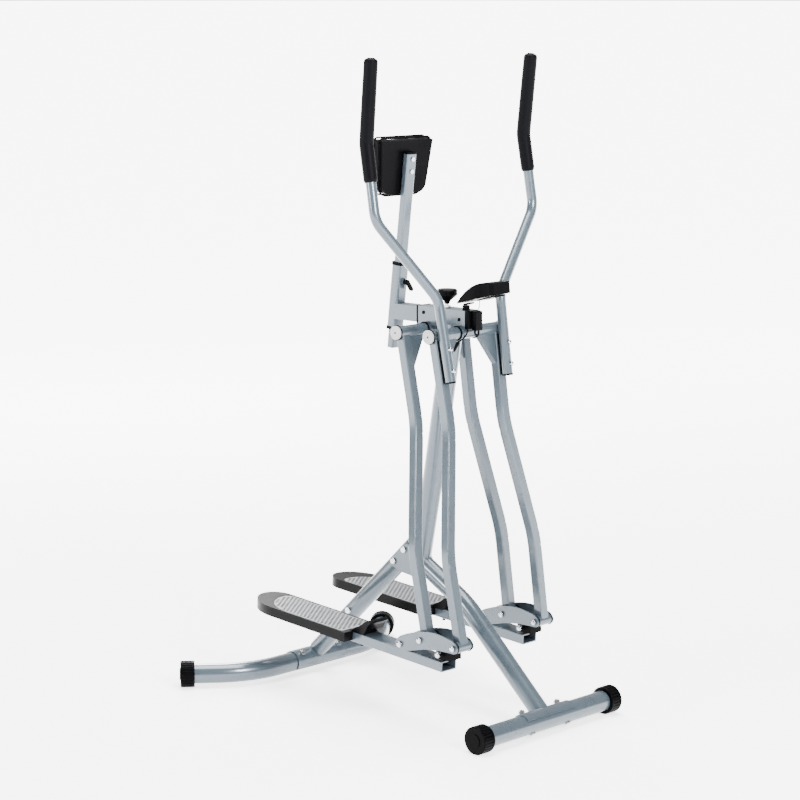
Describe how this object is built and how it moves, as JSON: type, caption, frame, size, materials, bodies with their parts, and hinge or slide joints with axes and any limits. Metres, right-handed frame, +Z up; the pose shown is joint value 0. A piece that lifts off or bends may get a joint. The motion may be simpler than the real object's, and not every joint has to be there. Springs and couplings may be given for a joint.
{
  "type": "elliptical trainer",
  "caption": "Air-walk glider with a bent stand, paired hanging arms carrying pedals, push handles, an adjustable stomach pad and a small console.",
  "frame": {"origin": "on the floor under the middle of the bounding box", "axes": "+Z up, -Y the machine's front (straight base tube), +Y the user's side, +X the user's left"},
  "size_m": [0.7634, 0.9685, 1.5923],
  "materials": {
    "frame_paint": "semi-gloss silver blue",
    "black_plastic": "satin",
    "pedal_plastic": "satin",
    "tread_plate": "satin, pierced",
    "grip_foam": "foam",
    "fastener": "bright zinc",
    "pivot_white": "gloss",
    "pad_vinyl": "stitched vinyl over foam",
    "screen_window": "gloss",
    "button_grey": "satin",
    "cord_black": "matte"
  },
  "bodies": {
    "frame": {"front_base_tube": "frame_paint", "front_cap_left": "black_plastic", "front_cap_right": "black_plastic", "rear_base_tube": "frame_paint", "rear_cap_left": "black_plastic", "rear_cap_right": "black_plastic", "main_frame": "frame_paint", "rear_leg": "frame_paint", "hub_plates": "frame_paint", "hub_bolts": "fastener", "front_base_bolts": "fastener", "rear_base_bolts": "fastener", "pivot_axles": "fastener", "pivot_washers": "black_plastic", "pivot_caps": "pivot_white", "beam_trim": "black_plastic", "console_housing": "black_plastic", "console_screen": "screen_window", "console_bracket": "black_plastic", "sensor_box": "black_plastic", "console_cord": "cord_black", "sensor_cord": "cord_black", "sensor_plug": "black_plastic"},
    "button": {"console_button": "button_grey"},
    "carriage": {"pad_carriage": "frame_paint", "sleeve_collars": "black_plastic"},
    "pad_clamp": {"pad_lever": "black_plastic", "pad_lever_screw": "fastener"},
    "beam_clamp": {"beam_knob": "black_plastic", "beam_knob_screw": "fastener"},
    "pad": {"pad_post": "frame_paint", "pad_board": "black_plastic", "pad_cushion": "pad_vinyl", "pad_screws": "fastener"},
    "swing_right": {"arm_front_right": "frame_paint", "handle_right": "frame_paint", "grip_right": "grip_foam", "handle_trim_right": "black_plastic", "handle_bolts_right": "fastener"},
    "rear_arm_right": {"arm_rear_right": "frame_paint"},
    "link_right": {"link_plates_right": "frame_paint", "pedal_bar_right": "frame_paint", "link_bolts_right": "fastener", "link_block_right": "black_plastic", "pedal_right": "pedal_plastic", "tread_right": "tread_plate"},
    "swing_left": {"arm_front_left": "frame_paint", "handle_left": "frame_paint", "grip_left": "grip_foam", "handle_trim_left": "black_plastic", "handle_bolts_left": "fastener"},
    "rear_arm_left": {"arm_rear_left": "frame_paint"},
    "link_left": {"link_plates_left": "frame_paint", "pedal_bar_left": "frame_paint", "link_bolts_left": "fastener", "link_block_left": "black_plastic", "pedal_left": "pedal_plastic", "tread_left": "tread_plate"}
  },
  "joints": [
    {"name": "swing_right_turn", "type": "hinge", "parent": "frame", "child": "swing_right", "pos_m": [-0.104, -0.1855, 0.934], "axis": [1, 0, 0], "range_deg": [-24, 38]},
    {"name": "rear_arm_right_turn", "type": "hinge", "parent": "frame", "child": "rear_arm_right", "pos_m": [-0.104, -0.0775, 0.934], "axis": [1, 0, 0], "range_deg": [-24, 38]},
    {"name": "link_right_turn", "type": "hinge", "parent": "swing_right", "child": "link_right", "pos_m": [-0.172, -0.33831, 0.2212], "axis": [1, 0, 0], "range_deg": [-38, 24]},
    {"name": "swing_left_turn", "type": "hinge", "parent": "frame", "child": "swing_left", "pos_m": [0.104, -0.1855, 0.934], "axis": [1, 0, 0], "range_deg": [-28, 34]},
    {"name": "rear_arm_left_turn", "type": "hinge", "parent": "frame", "child": "rear_arm_left", "pos_m": [0.104, -0.0775, 0.934], "axis": [1, 0, 0], "range_deg": [-28, 34]},
    {"name": "link_left_turn", "type": "hinge", "parent": "swing_left", "child": "link_left", "pos_m": [0.172, -0.28696, 0.21209], "axis": [1, 0, 0], "range_deg": [-34, 28]},
    {"name": "pad_reach", "type": "slide", "parent": "frame", "child": "carriage", "axis": [0, 1, 0], "range_m": [-0.03, 0.03]},
    {"name": "pad_height", "type": "slide", "parent": "carriage", "child": "pad", "axis": [0, -0.1189, 0.9929], "range_m": [-0.11, 0.1]},
    {"name": "beam_knob_turn", "type": "hinge", "parent": "frame", "child": "beam_clamp", "pos_m": [0, -0.125, 1], "axis": [0, 0, 1], "range_deg": [-180, 180]},
    {"name": "pad_lever_turn", "type": "hinge", "parent": "carriage", "child": "pad_clamp", "pos_m": [0, 0.03702, 1.04081], "axis": [0, -0.9929, -0.1189], "range_deg": [-90, 90]},
    {"name": "console_button_press", "type": "slide", "parent": "frame", "child": "button", "axis": [0, 0.6561, 0.7547], "range_m": [-0.0015, 0], "stiffness_N_per_m": 300}
  ],
  "couplings": [
    {"joint": "rear_arm_right_turn", "follows": "swing_right_turn", "ratio": 1},
    {"joint": "link_right_turn", "follows": "swing_right_turn", "ratio": -1},
    {"joint": "rear_arm_left_turn", "follows": "swing_left_turn", "ratio": 1},
    {"joint": "link_left_turn", "follows": "swing_left_turn", "ratio": -1}
  ]
}
